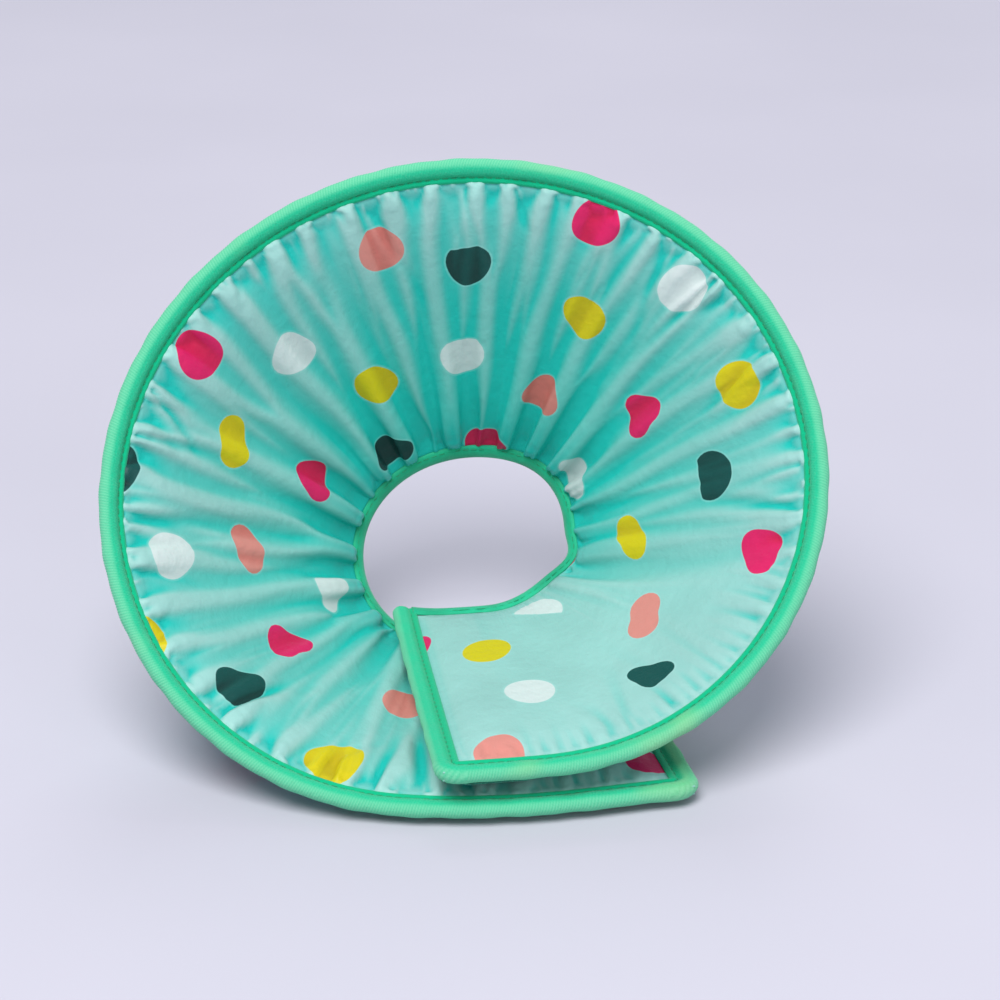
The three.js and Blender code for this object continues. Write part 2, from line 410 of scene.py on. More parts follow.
def satin_material(name, ground, painted_shade):
    """Printed satin, with painted shade down in its gathers, near the neck and on the arch's top, and painted
    highlights on its crests. Its spots come from the print attributes.
    """
    nodes = Nodes(name)
    cloth = nodes.pattern()
    soft = nodes.ramp(nodes.noise(cloth, 0.035, 3.0), 0.3, 0.7)
    colour = nodes.mix(soft, shade(ground, 0.95), shade(ground, 1.05))
    # painted shade and highlight, from a mesh attribute: at 0 the painted shade colour, at 1 the pale ground
    painted_shading = nodes.attribute("painted_shading", "Fac")
    colour = nodes.mix(painted_shading, painted_shade, colour)
    edge = nodes.attribute("print_edge", "Fac")
    halo = nodes.ramp(edge, 0.9, 0.3, 0.0, 0.25)
    colour = nodes.mix(halo, colour, (0.36, 0.66, 0.62, 1.0))
    ink = nodes.attribute("print_colour", "Color")
    # the print darkened in the same painted shade
    ink = nodes.mix(nodes.ramp(painted_shading, 0.0, 0.7, 0.5, 0.0), ink, ink, "MULTIPLY")
    colour = nodes.mix(nodes.ramp(edge, 0.14, -0.14), colour, ink)
    warp = nodes.wave(cloth, 0.34, "X", 0.4)
    weft = nodes.wave(cloth, 0.34, "Y", 0.4)
    threads = nodes.math("MULTIPLY", warp, weft)
    colour = nodes.mix(nodes.ramp(threads, 0.0, 1.0, 0.0, 0.05), colour, (1.0, 1.0, 1.0, 1.0))
    crumple = nodes.noise(cloth, 0.22, 4.0, 0.55)
    normal = nodes.bump(crumple, 0.0012, 0.35)
    normal = nodes.bump(threads, 0.00004, 0.35, Normal=normal)
    rough = nodes.ramp(nodes.noise(cloth, 0.12, 3.0), 0.25, 0.75, 0.33, 0.43)
    return nodes.finish(
        Base_Color=colour, Roughness=rough, Normal=normal, Specular_IOR_Level=0.12, Coat_Weight=0.06,
        Coat_Roughness=0.25,
    )


def terry_material(name, ground, painted_highlight, painted_shade):
    """Ribbed, looped tape: painted highlight at its fold, painted shade towards its sewn lip and between its
    ribs.
    """
    nodes = Nodes(name)
    spot = nodes.place()
    lip = nodes.attribute("lip", "Fac")
    rib = nodes.attribute("rib", "Fac")
    loops = nodes.noise(spot, 1.6, 3.0, 0.6)
    patches = nodes.ramp(nodes.noise(spot, 0.022, 2.0), 0.60, 0.72)
    # painted highlight at the fold, fading into the ground colour towards the lip
    colour = nodes.mix(nodes.ramp(lip, 0.0, 0.3), painted_highlight, ground)
    # painted shade in the grooves between the ribs
    colour = nodes.mix(nodes.ramp(rib, 0.0, 0.9, 0.45, 0.0), colour, painted_shade)
    colour = nodes.mix(nodes.ramp(loops, 0.45, 0.8, 0.0, 0.3), colour, painted_highlight)
    colour = nodes.mix(nodes.math("MULTIPLY", patches, 0.35), colour, (0.40, 0.58, 0.22, 1.0))
    # painted shade towards the sewn lip
    colour = nodes.mix(nodes.ramp(lip, 0.6, 0.95), colour, painted_shade)
    normal = nodes.bump(loops, 0.00035, 0.8)
    return nodes.finish(
        Base_Color=colour, Roughness=0.9, Normal=normal, Specular_IOR_Level=0.15, Sheen_Weight=0.3,
        Sheen_Roughness=0.5, Sheen_Tint=(0.6, 1.0, 0.8, 1.0),
    )


def tape_material(name, ground):
    """Smooth woven tape."""
    nodes = Nodes(name)
    tape = nodes.pattern()
    warp = nodes.wave(tape, 0.38, "Y", 0.5)
    weft = nodes.wave(tape, 0.5, "X", 0.5)
    weave = nodes.math("MULTIPLY", warp, weft)
    soft = nodes.noise(nodes.place(), 0.09, 3.0)
    colour = nodes.mix(nodes.ramp(soft, 0.3, 0.7), shade(ground, 0.85), shade(ground, 1.12))
    colour = nodes.mix(nodes.ramp(weave, 0.0, 1.0, 0.16, 0.0), colour, (0.0, 0.10, 0.05, 1.0))
    normal = nodes.bump(weave, 0.00007, 0.7)
    return nodes.finish(
        Base_Color=colour, Roughness=0.62, Normal=normal, Specular_IOR_Level=0.4, Sheen_Weight=0.3,
        Sheen_Roughness=0.45, Sheen_Tint=(0.7, 1.0, 0.85, 1.0),
    )


def thread_material(name, ground):
    """Twisted sewing thread."""
    nodes = Nodes(name)
    twist = nodes.wave(nodes.pattern(), 0.35, "DIAGONAL", 0.3)
    colour = nodes.mix(nodes.ramp(twist, 0.0, 1.0), shade(ground, 0.7), shade(ground, 1.15))
    return nodes.finish(
        Base_Color=colour, Roughness=0.55, Normal=nodes.bump(twist, 0.00006, 0.6), Specular_IOR_Level=0.5,
        Sheen_Weight=0.2, Sheen_Roughness=0.4, Sheen_Tint=(1.0, 1.0, 1.0, 1.0),
    )


def pile_material(name, ground, pitch, depth):
    """Fastening strip with a pile of hooks or loops that pitch millimetres apart."""
    nodes = Nodes(name)
    strip = nodes.place()
    tufts = nodes.cells(strip, 1 / pitch, 0.6)
    fuzz = nodes.noise(strip, 2.4, 4.0, 0.65)
    colour = nodes.mix(nodes.ramp(tufts, 0.1, 0.6), shade(ground, 1.1), shade(ground, 0.55))
    colour = nodes.mix(nodes.ramp(fuzz, 0.45, 0.75, 0.0, 0.3), colour, shade(ground, 1.6))
    normal = nodes.bump(nodes.math("SUBTRACT", fuzz, tufts), depth, 0.8)
    return nodes.finish(
        Base_Color=colour, Roughness=0.85, Normal=normal, Specular_IOR_Level=0.3, Sheen_Weight=0.4,
        Sheen_Roughness=0.5, Sheen_Tint=(0.8, 1.0, 0.95, 1.0),
    )


def fill_material(name, ground, size, depth):
    """Foam cells or wadding fibres about size millimetres across."""
    nodes = Nodes(name)
    inside = nodes.place()
    cells = nodes.cells(inside, 1 / size)
    cloud = nodes.noise(inside, 0.3 / size, 4.0, 0.6)
    colour = nodes.mix(nodes.ramp(cells, 0.0, 0.6), shade(ground, 0.86), shade(ground, 1.0))
    colour = nodes.mix(nodes.ramp(cloud, 0.3, 0.7, 0.0, 0.12), colour, shade(ground, 0.75))
    normal = nodes.bump(nodes.math("ADD", cells, cloud), depth, 0.7)
    return nodes.finish(Base_Color=colour, Roughness=0.95, Normal=normal, Specular_IOR_Level=0.2)


SATIN_GROUND = (0.290, 0.550, 0.515, 1.0)
# the satin's painted shade colour, for its gathers, the neck and the arch's top
SATIN_PAINTED_SHADE = (0.003, 0.460, 0.400, 1.0)
OUTER_GROUND = (0.300, 0.560, 0.525, 1.0)
RIM_GROUND = (0.022, 0.520, 0.285, 1.0)
# the binding's painted highlight at its fold, and painted shade at its lip and between its ribs
RIM_PAINTED_HIGHLIGHT = (0.150, 0.590, 0.355, 1.0)
RIM_PAINTED_SHADE = (0.001, 0.440, 0.215, 1.0)
NECK_GROUND = (0.001, 0.460, 0.240, 1.0)
THREAD_GROUND = (0.001, 0.330, 0.150, 1.0)
INNER_SATIN = satin_material("inner_satin", SATIN_GROUND, SATIN_PAINTED_SHADE)
OUTER_SATIN = satin_material("outer_satin", OUTER_GROUND, SATIN_PAINTED_SHADE)
RIM_TERRY = terry_material("rim_terry", RIM_GROUND, RIM_PAINTED_HIGHLIGHT, RIM_PAINTED_SHADE)
NECK_WEAVE = tape_material("neck_weave", NECK_GROUND)
THREAD = thread_material("sewing_thread", THREAD_GROUND)
HOOK_PILE = pile_material("hook_pile", (0.06, 0.42, 0.33), 0.9, 0.0005)
LOOP_PILE = pile_material("loop_pile", (0.07, 0.46, 0.36), 0.6, 0.0003)
FOAM = fill_material("foam_cells", (0.86, 0.86, 0.82), 0.8, 0.0003)
WADDING = fill_material("wadding_fibres", (0.93, 0.93, 0.92), 2.5, 0.0008)


# ---------------------------------------------------------------- the print

INKS = {
    "magenta": (0.64, 0.008, 0.11),
    "salmon": (0.64, 0.235, 0.2),
    "green": (0.0005, 0.062, 0.056),
    "yellow": (0.6, 0.51, 0.0005),
    "white": (0.6, 0.68, 0.67),
}
# angle, distance from the centre, mean radius in millimetres, length to width, heading of the long axis,
# depth of three lobes, heading of one lobe, and "waist" or, for a straight side, its distance and heading.
# Headings are on the flat pattern, in degrees.
SPOTS = {
    "magenta": (
        (2.0, 153, 7.6, 1.1, 0, 0.05, 60), (58, 113, 7.6, 1.3, 75, 0.16, 262),
        (96, 88, 7.2, 1.1, 95, 0.1, 90), (101.5, 152.5, 8.3, 1.1, 95, 0.05, 240),
        (148, 60, 7.4, 1.1, 60, 0.04, 0), (157, 156, 8.2, 1.0, 0, 0.03, 20),
        (181, 107, 7.4, 1.2, 145, 0.17, 320), (209, 149, 7.9, 1.2, 75, 0.1, 50),
        (212, 53, 6.6, 1.0, 0, 0.0, 0), (269, 85, 7.4, 1.1, 0, 0.1, 0),
    ),
    "salmon": (
        (34, 110, 8.3, 1.2, 0, 0.05, 90), (77, 112, 7.2, 1.5, 140, 0.04, 5, "waist"),
        (129, 144, 7.7, 1.05, 80, 0.03, 0), (160, 87, 7.2, 1.12, 90, 0.09, 280),
        (223, 115, 8.0, 1.66, 93, 0.0, 90, "waist"), (253, 160, 8.2, 1.15, 95, 0.04, 90),
    ),
    "green": (
        (55, 146, 8.0, 1.35, 78, 0.12, 255), (85, 165, 7.8, 1.2, 0, 0.03, 0),
        (117, 69, 6.8, 1.2, 20, 0.06, 100), (141, 133.5, 7.7, 1.0, 165, 0.06, 325, (0.8, 133)),
        (197, 126, 8.6, 1.0, 0, 0.02, 80, (0.62, 15)), (231, 141, 6.7, 1.4, 5, 0.15, 270),
        (14, 120, 7.8, 1.2, 30, 0.08, 0),
    ),
    "yellow": (
        (39, 154, 9.2, 1.15, 60, 0.08, 250), (65, 167, 8.4, 1.1, 0, 0.04, 0),
        (94, 125, 7.4, 1.5, 155, 0.02, 180, "waist"), (121, 97, 7.4, 1.3, 75, 0.06, 0),
        (161, 122, 7.7, 1.25, 95, 0.06, 330), (186, 146, 8.2, 1.0, 0, 0.03, 45),
        (206, 91, 7.1, 1.7, 75, 0.0, 0, "waist"), (252, 94, 8.0, 1.3, 118, 0.02, 0),
        (0, 96, 8.0, 1.2, 60, 0.05, 0),
    ),
    "white": (
        (67, 79, 6.6, 1.1, 90, 0.2, 105), (75, 146, 8.4, 1.1, 60, 0.05, 240),
        (111, 126, 7.7, 1.15, 60, 0.09, 245), (140, 98.5, 7.6, 1.1, 60, 0.04, 320, (0.75, 140)),
        (171, 151, 8.5, 1.1, 0, 0.03, 30), (184, 67, 6.8, 1.55, 118, 0.02, 0, "waist"),
        (236, 75, 9.6, 1.0, 5, 0.0, 0, (0.0, 278)), (247, 125, 8.1, 1.05, 0, 0.02, 0),
        (20, 84, 7.6, 1.1, 80, 0.1, 30),
    ),
}


def spot_distance(radius, angle, spot):
    """Signed distance in millimetres from a spot's outline, negative inside."""
    spot_angle, spot_out, size, stretch, axis, lobe, lobe_heading, *cut = spot
    cut = cut[0] if cut else None
    place = np.array((math.cos(math.radians(spot_angle)), math.sin(math.radians(spot_angle)))) * spot_out
    x, y = np.moveaxis(flat_uv(radius, angle) / MM - place, -1, 0)
    heading = np.arctan2(y, x)
    reach = np.hypot(x, y)
    turn = heading - math.radians(axis)
    outline = size / np.hypot(np.cos(turn) / math.sqrt(stretch), np.sin(turn) * math.sqrt(stretch))
    if cut == "waist":
        outline = size * (1 + 0.5 * (stretch - 1) * np.cos(2 * turn))
    found = reach - outline * (1 + lobe * np.cos(3 * (heading - math.radians(lobe_heading))))
    if isinstance(cut, tuple):
        found = np.maximum(found, reach * np.cos(heading - math.radians(cut[1])) - cut[0] * size)
    return found


def print_attributes(radius, angle, mirrored):
    """The distance to the nearest spot's edge and that spot's colour, at each place on the pattern."""
    if mirrored:
        angle = SECTOR_START + SECTOR_END - angle
    nearest = np.full(radius.shape, 100.0)
    colour = np.ones((*radius.shape, 4))
    for ink, spots in SPOTS.items():
        for spot in spots:
            distance = spot_distance(radius, angle, spot)
            closer = distance < nearest
            nearest = np.where(closer, distance, nearest)
            colour[closer, :3] = INKS[ink]
    return nearest, colour


# ---------------------------------------------------------------- gathers and folds of the covers

# long folds: degrees from fold to fold, height in millimetres, and degrees of lean from the neck to the rim
FOLD_WAVES = ((17.0, 0.50, 5.0), (10.5, 0.42, -3.0), (6.7, 0.36, 2.5), (4.6, 0.22, -2.0))


def strokes(count, edge_radius, lengths, width, depth, spread, drift):
    """Seeded creases that start at one edge of the cloth: angle, drift, length, widths, depth."""
    span = SECTOR_END - SECTOR_START + 50
    first = SECTOR_START - 25
    places = first + span * (np.arange(count) + RNG.uniform(-0.45, 0.45, count)) / count
    reach = lengths[0] * (lengths[1] / lengths[0]) ** RNG.uniform(0, 1, count) ** 1.6
    share = (reach / lengths[1]) ** 0.5
    return list(zip(
        places,
        RNG.normal(0, drift, count) * reach,
        reach,
        width * RNG.uniform(0.7, 1.3, count) * (0.8 + share),
        RNG.uniform(spread[0], spread[1], count),
        depth * RNG.uniform(0.35, 1.0, count) * (0.5 + share),
        [edge_radius] * count,
    ))


def stroke_field(out, angle, marks, inward_sign):
    """Sum of the creases' heights. Each is a pinched valley between two soft shoulders."""
    total = np.zeros(np.broadcast_shapes(out.shape, angle.shape))
    for place, drift, reach, width, spread, depth, edge in marks:
        t = (out - edge) * inward_sign / MM / reach
        near = (t > -0.3) & (t < 1)
        if not near.any():
            continue
        t = np.clip(t, 0, 1)
        centre = place + drift * t * (0.4 + 0.6 * t)
        half = width * (1 + spread * t)
        x = np.radians(angle - centre) * out / MM / half
        fade = (1 - t) ** 1.3 * near
        total -= depth * fade * (1 - 1.1 * x * x) * np.exp(-0.9 * x * x)
    return total


def long_folds(out, angle):
    """Soft folds that run from the neck to the rim, a little slanted, in millimetres."""
    t = (out - NECK_RADIUS) / (RIM_RADIUS - NECK_RADIUS)
    total = 0.0
    for wave_length, height, lean in FOLD_WAVES:
        phase = RNG.uniform(0, 2 * math.pi, 3)
        heading = np.radians(angle)
        slow = 2.2 * np.sin(heading * 2.3 + phase[1]) + 1.4 * np.sin(heading * 5.1 + phase[2])
        wave = np.sin(2 * math.pi * (angle + lean * t + slow) / wave_length + phase[0])
        fade = (1 - t) ** 0.35 if wave_length < 8 else 1.0
        total = total + height * fade * (1 - 2 * np.abs(wave) ** 0.8)
    return total


def calmness(angle):
    """How much the folds are held flat: 0 on the arch, more on the two ends."""
    ends = smooth_ramp((angle - 200) / 15) + smooth_ramp((34 - angle) / 24)
    return np.clip(ends, 0, 1)


RIM_MARKS = strokes(230, RIM_RADIUS - RIM_TAPE_WIDTH + MM, (7, 62), 1.15, 1.2, (0.8, 2.2), 0.10)
NECK_MARKS = strokes(120, NECK_RADIUS + NECK_TAPE_WIDTH - MM, (8, 70), 0.75, 1.1, (1.6, 3.4), 0.14)
COVER_RIM_INSET, COVER_NECK_INSET, COVER_END_INSET = 0.0034, 0.0022, 0.0034
# heights of a cover's face in millimetres: under the tapes, on the arch and on the two ends, and its limits
LOW_EDGE, FULL_HEIGHT, END_HEIGHT = 1.5, 5.6, 5.0
LOWEST, HIGHEST, HIGHEST_ON_ENDS, HIGHEST_UNDER_STRIP = 2.2, 8.2, 6.0, 5.2
CREASE_ANGLE, CREASE_TURN, CREASE_DEPTH = 217.0, -10.0, 2.8

# the simulated cloth: spacing of its points, rounds, and ties as (columns on, rows on, strength, only near
# the neck, where the columns come close together)
SIM_STEP, SIM_ROWS, SIM_ROUNDS = 0.0013, 57, 300
TIES = (
    (1, 0, 1.0, False), (0, 1, 1.0, False), (1, 1, 0.25, False), (1, -1, 0.25, False), (2, 0, 0.5, False),
    (4, 0, 0.3, False), (6, 0, 0.15, False), (12, 0, 0.35, True), (0, 2, 0.5, False), (0, 4, 0.4, False),
)
# how much longer the cloth is than its seam at the rim, at the neck and in the middle, and over how many mm
RIM_FULLNESS, NECK_FULLNESS, MIDDLE_FULLNESS = 0.13, 0.22, 0.015
RIM_REACH, NECK_REACH, PATCH_PASSES = 7.0, 24.0, 60
# what the cloth starts from, before it is made fuller
START_NOISE, START_FOLDS, START_MARKS = 0.25, 2.6, 0.7
PADDING_PUSH = 0.01
RIM_PUCKERS = 1.3
# the satin's painted shading, 1 at its palest: its level on flat cloth, the painted highlight added with each
# millimetre of crest, the painted shade where gathers are tight near the neck and how far out it reaches, and
# the painted shade on the top of the arch, whose inside faces away from the lamps. A crest stands above the
# cloth within so many millimetres, and fine streaks add to broad folds with their own weight.
BROAD_CREST, FINE_CREST, STREAKS = 5.0, 1.7, 0.8
SHADING_LEVEL, HIGHLIGHT_BY_CREST, SHADE_NEAR_NECK, NECK_SHADE_REACH, SHADE_ON_TOP = 0.70, 0.50, 0.80, 38.0, 0.30


def soft_noise(shape, passes):
    """Random numbers smoothed over a grid, with a spread of 1."""
    values = RNG.normal(0, 1, shape)
    for _ in range(passes):
        for axis in (0, 1):
            values = (np.roll(values, 1, axis) + values + np.roll(values, -1, axis)) / 3
    return values / values.std()


def tie_sets(shape, columns_on, rows_on):
    """Pairs of grid points that far apart, in two sets in which no point comes twice."""
    first_columns = np.arange(shape[0] - columns_on)
    first_rows = np.arange(max(0, -rows_on), shape[1] - max(0, rows_on))
    for half in (0, 1):
        i, j = first_columns, first_rows
        if columns_on:
            i = i[(i // columns_on) % 2 == half]
        else:
            j = j[(j // rows_on) % 2 == half]
        i, j = np.ix_(i, j)
        yield (i, j), (i + columns_on, j + rows_on)


def make_ties(flat, fullness):
    """The cloth's ties: their points, lengths round and outwards in the flat, fullness and strength."""
    ties = []
    near_neck = np.linspace(1, 0, flat.shape[1])[None, :] ** 2
    for columns_on, rows_on, strength, only_near_neck in TIES:
        for first, second in tie_sets(flat.shape[:2], columns_on, rows_on):
            corner = (second[0], first[1])
            around = np.linalg.norm(flat[corner] - flat[first], axis=-1)
            outward = np.linalg.norm(flat[second] - flat[corner], axis=-1)
            more = (fullness[first] + fullness[corner]) / 2
            held = strength * near_neck[:, second[1][0]] if only_near_neck else strength
            ties.append((first, second, around, outward, more, held))
    return ties


def pull(points, free, tie, share):
    """Moves the free points of a tie so that its length comes to the flat length made fuller by share."""
    first, second, around, outward, more, strength = tie
    gap = points[second] - points[first]
    length = np.maximum(np.linalg.norm(gap, axis=-1), 1e-9)
    rest = np.hypot(around * (1 + more * share), outward)
    weights = np.maximum(free[first] + free[second], 1e-9)
    move = (strength * (length - rest) / length / weights)[..., None] * gap
    points[first] += free[first][..., None] * move
    points[second] -= free[second][..., None] * move


def edge_distances(out, across):
    """Millimetres from the rim's, the neck's and the ends' tapes."""
    rim = (RIM_RADIUS - RIM_TAPE_WIDTH - out) / MM
    neck = (out - NECK_RADIUS - NECK_TAPE_WIDTH) / MM
    end = (TAB - RIM_TAPE_WIDTH - np.abs(across)) / MM
    return rim, neck, end


def padded_height(out, angle, across, calm):
    """Height in millimetres of a cover without its gathers."""
    rim, neck, end = edge_distances(out, across)
    swell = 1 - np.exp(-np.maximum(rim, 0) / 5.0)
    swell = swell * (1 - np.exp(-np.maximum(neck, 0) / 3.5))
    swell = swell * (1 - np.exp(-np.maximum(end, 0) / 4.0))
    full = FULL_HEIGHT + (END_HEIGHT - FULL_HEIGHT) * calm
    t = (out - NECK_RADIUS) / (RIM_RADIUS - NECK_RADIUS)
    side = np.radians(angle - CREASE_ANGLE - CREASE_TURN * t) * out / MM / (2.5 + 6 * t)
    crease = CREASE_DEPTH * (1 - 0.75 * t) * np.exp(-np.abs(side) ** 1.3)
    return LOW_EDGE + (full - LOW_EDGE) * swell - crease * smooth_ramp(neck / 3) * smooth_ramp(rim / 8)


def highest(radius, angle, side, calm):
    """The most a cover may rise in millimetres: less on the ends, and least under a fastening strip."""
    limit = HIGHEST + (HIGHEST_ON_ENDS - HIGHEST) * calm
    start, near, far, low, high = LOOP_STRIP if side > 0 else HOOK_STRIP
    turn = np.radians(angle - start)
    out, across = radius / MM * np.cos(turn), radius / MM * np.sin(turn)
    inside = np.minimum(np.minimum(across - near, far - across), np.minimum(out - low, high - out))
    return limit + (HIGHEST_UNDER_STRIP - limit) * smooth_ramp((inside + 3) / 3)


def gather_cover(side, shift):
    """Simulates a cover as cloth that is fuller than its seams: its heights and moves, in millimetres."""
    angle, across = columns(SIM_STEP, COVER_END_INSET)
    out = np.linspace(NECK_RADIUS + COVER_NECK_INSET, RIM_RADIUS - COVER_RIM_INSET, SIM_ROWS)
    out_grid, across_grid = np.broadcast_arrays(out[None, :], across[:, None])
    radius, turned_angle = pattern_place(out_grid, angle[:, None], across_grid)
    calm = calmness(turned_angle)
    rim, neck, end = edge_distances(out_grid, across_grid)
    free = ((rim > 0.3) & (neck > 0.3) & (end > 0.3)).astype(float)
    target = padded_height(out_grid, turned_angle, across_grid, calm)
    start = START_NOISE * (soft_noise(free.shape, 1) + soft_noise(free.shape, 5)) * (1 - 0.9 * calm)
    start += START_FOLDS * long_folds(out_grid, turned_angle + shift) * (1 - 0.9 * calm)
    start += START_MARKS * stroke_field(out_grid, turned_angle + shift, RIM_MARKS, -1)
    start += START_MARKS * stroke_field(out_grid, turned_angle + shift, NECK_MARKS, 1) * (1 - 0.92 * calm)
    patches = soft_noise((len(angle), 3), PATCH_PASSES)[:, :1]
    patches = np.clip(1 + 0.8 * patches / patches.std(), 0, 2.2)
    fullness = MIDDLE_FULLNESS * patches + NECK_FULLNESS * np.exp(-np.maximum(neck, 0) / NECK_REACH)
    fullness = fullness * (1 - 0.97 * calm)
    fullness += RIM_FULLNESS * np.exp(-np.maximum(rim, 0) / RIM_REACH) * (1 - 0.7 * calm)
    flat = flat_uv(radius, turned_angle) / MM
    points = np.concatenate((flat, (target + start * free)[..., None]), axis=-1)
    limit = highest(radius, turned_angle, side, calm)
    lowest = np.minimum(LOWEST, target)
    ties = make_ties(flat, fullness)
    rounds = SIM_ROUNDS
    for number in range(rounds):
        share = min(1.0, (number + 1) / (0.6 * rounds))
        for tie in ties:
            pull(points, free, tie, share)
        height = points[..., 2]
        lifted = height + PADDING_PUSH * np.maximum(target - height, 0)
        points[..., 2] = np.where(free > 0, np.clip(lifted, lowest, limit), height)
    heading = np.radians(turned_angle)
    moved = points[..., :2] - flat
    outward = moved[..., 0] * np.cos(heading) + moved[..., 1] * np.sin(heading)
    around = moved[..., 1] * np.cos(heading) - moved[..., 0] * np.sin(heading)
    height = np.minimum(points[..., 2], limit)
    return angle, across, out, np.stack((height, outward, around), axis=-1)


def resampled(values, old, new):
    """Smooth interpolation of the first axis of values from its old places to new ones."""
    place = np.interp(new, old, np.arange(len(old)))
    index = np.minimum(place.astype(int), len(old) - 2)
    t = (place - index).reshape(-1, *[1] * (values.ndim - 1))
    before, low, high, after = (values[np.clip(index + k, 0, len(old) - 1)] for k in (-1, 0, 1, 2))
    bend = 2 * before - 5 * low + 4 * high - after + t * (3 * (low - high) + after - before)
    return low + 0.5 * t * (high - before + t * bend)


# ---------------------------------------------------------------- the padding's layers

CLOTH_THICKNESS = 0.35
# the lowest that the outer cover lies above the table, in metres
ABOVE_TABLE = 0.0001


def row_places(step, neck_inset, rim_inset):
    """Distances out of the rows of a layer, closer together near the bindings."""
    low, high = NECK_RADIUS + neck_inset, RIM_RADIUS - rim_inset
    count = round((high - low) / step)
    even = np.linspace(0, 1, count + 1)
    return low + (high - low) * (even - 0.09 * np.sin(2 * math.pi * even))


def sheet_loops(radius, angle, face, back):
    """Loops that go out along one side of a sheet, at height face in mm, and return along the other."""
    front = roll(radius, angle, face * MM)
    rear = roll(radius, angle, back * MM)
    return np.concatenate((front, rear[:, ::-1]), axis=1)


def padded_stretches(kind, points, place, angle, attributes, material):
    """The four padded pieces of one sheet. place is its radius and angle on the flat pattern."""
    uv = both_sides(flat_uv(*place))
    attributes = {key: both_sides(values) for key, values in attributes.items()}
    cap = ladder_cap(points.shape[1])
    for piece in loft_stretches(kind, points, uv, angle, cap, attributes, material):
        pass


def both_sides(values):
    """Values of one face, repeated for the points of a loop that comes back along the other face."""
    return np.concatenate((values, values[:, ::-1]), axis=1)


def smoothed(values, reach):
    """Values averaged along their columns over twice reach, twice."""
    window = np.ones(2 * reach + 1) / (2 * reach + 1)
    for _ in range(2):
        padded = np.pad(values, ((reach, reach), (0, 0)), mode="edge")
        values = np.apply_along_axis(np.convolve, 0, padded, window, mode="valid")
    return values


def make_cover(kind, side, material, step, shift, mirrored):
    """One satin cover, from under the rim binding to under the neck one. side is 1 inside, -1 outside."""
    sim_angle, sim_across, sim_out, fields = gather_cover(side, shift)
    angle, across = columns(step, COVER_END_INSET)
    out = row_places(step * 1.4, COVER_NECK_INSET, COVER_RIM_INSET)
    old_run, new_run = (np.radians(a) * RIM_RADIUS + c for a, c in ((sim_angle, sim_across), (angle, across)))
    fields = resampled(fields, old_run, new_run)
    fields = resampled(fields.swapaxes(0, 1), sim_out, out).swapaxes(0, 1)
    height, outward, around = np.moveaxis(fields, -1, 0)
    radius, turned_angle = pattern_place(out[None, :], angle[:, None], across[:, None])
    row, column = out[None, :], across[:, None]
    rim, neck, end = edge_distances(row, column)
    loose = smooth_ramp(rim / 2) * smooth_ramp(end / 3) * (1 - 0.5 * calmness(turned_angle))
    height = height + RIM_PUCKERS * loose * stroke_field(row, turned_angle + shift, RIM_MARKS, -1)
    height = np.clip(height, np.minimum(LOWEST, padded_height(row, turned_angle, column, 0.0)), None)
    moved_radius = radius + outward * MM
    moved_angle = turned_angle + np.degrees(around * MM / radius)
    points = sheet_loops(moved_radius, moved_angle, side * height, side * (height - CLOTH_THICKNESS))
    if side < 0:
        points[..., 2] = np.maximum(points[..., 2], ABOVE_TABLE)
    edge, colour = print_attributes(radius, turned_angle, mirrored)
    # painted shading of the satin, 1 at its palest: a painted highlight on crests and painted shade in the
    # valleys between them, near the neck and on the top of the arch, with less painted shade on the two ends
    crest = height - smoothed(height, round(BROAD_CREST * MM / step))
    fine = height - smoothed(height, round(FINE_CREST * MM / step))
    crest += STREAKS * fine * (1 + np.exp(-np.maximum(rim, 0) / 10))
    neck_shade = np.exp(-np.maximum(neck, 0) / NECK_SHADE_REACH) * (1 - 0.85 * calmness(turned_angle - 12))
    level = SHADING_LEVEL + (1 - SHADING_LEVEL) * calmness(turned_angle)
    # painted shade on the top of the arch, whose inside faces away from the lamps
    level = level - SHADE_ON_TOP * np.exp(-((turned_angle - 150) / 38) ** 2) * smooth_ramp(rim / 40)
    painted_shading = np.clip(level + HIGHLIGHT_BY_CREST * crest - SHADE_NEAR_NECK * neck_shade, 0, 1)
    attributes = {"print_edge": edge, "print_colour": colour, "painted_shading": painted_shading}
    padded_stretches(kind, points, (radius, turned_angle), angle, attributes, material)


def make_filling(kind, low, high, material, lumps):
    """The foam sheet or the wadding, with its surfaces a little uneven."""
    angle, across = columns(3 * MM, 5 * MM)
    out = row_places(3 * MM, 4 * MM, 5 * MM)
    out_grid, across_grid = np.broadcast_arrays(out[None, :], across[:, None])
    edge = np.minimum(RIM_RADIUS - out_grid, TAB - np.abs(across_grid)) / MM - 9
    edge = np.minimum(edge, (out_grid - NECK_RADIUS) / MM - 5)
    squeeze = 0.55 + 0.45 * smooth_ramp(edge / 9)
    face = high * squeeze + lumps * RNG.uniform(-1, 1, out_grid.shape) * (edge > 0)
    back = low * squeeze
    place = pattern_place(out[None, :], angle[:, None], across[:, None])
    padded_stretches(kind, sheet_loops(*place, face, back), place, angle, {}, material)


# ---------------------------------------------------------------- the bindings

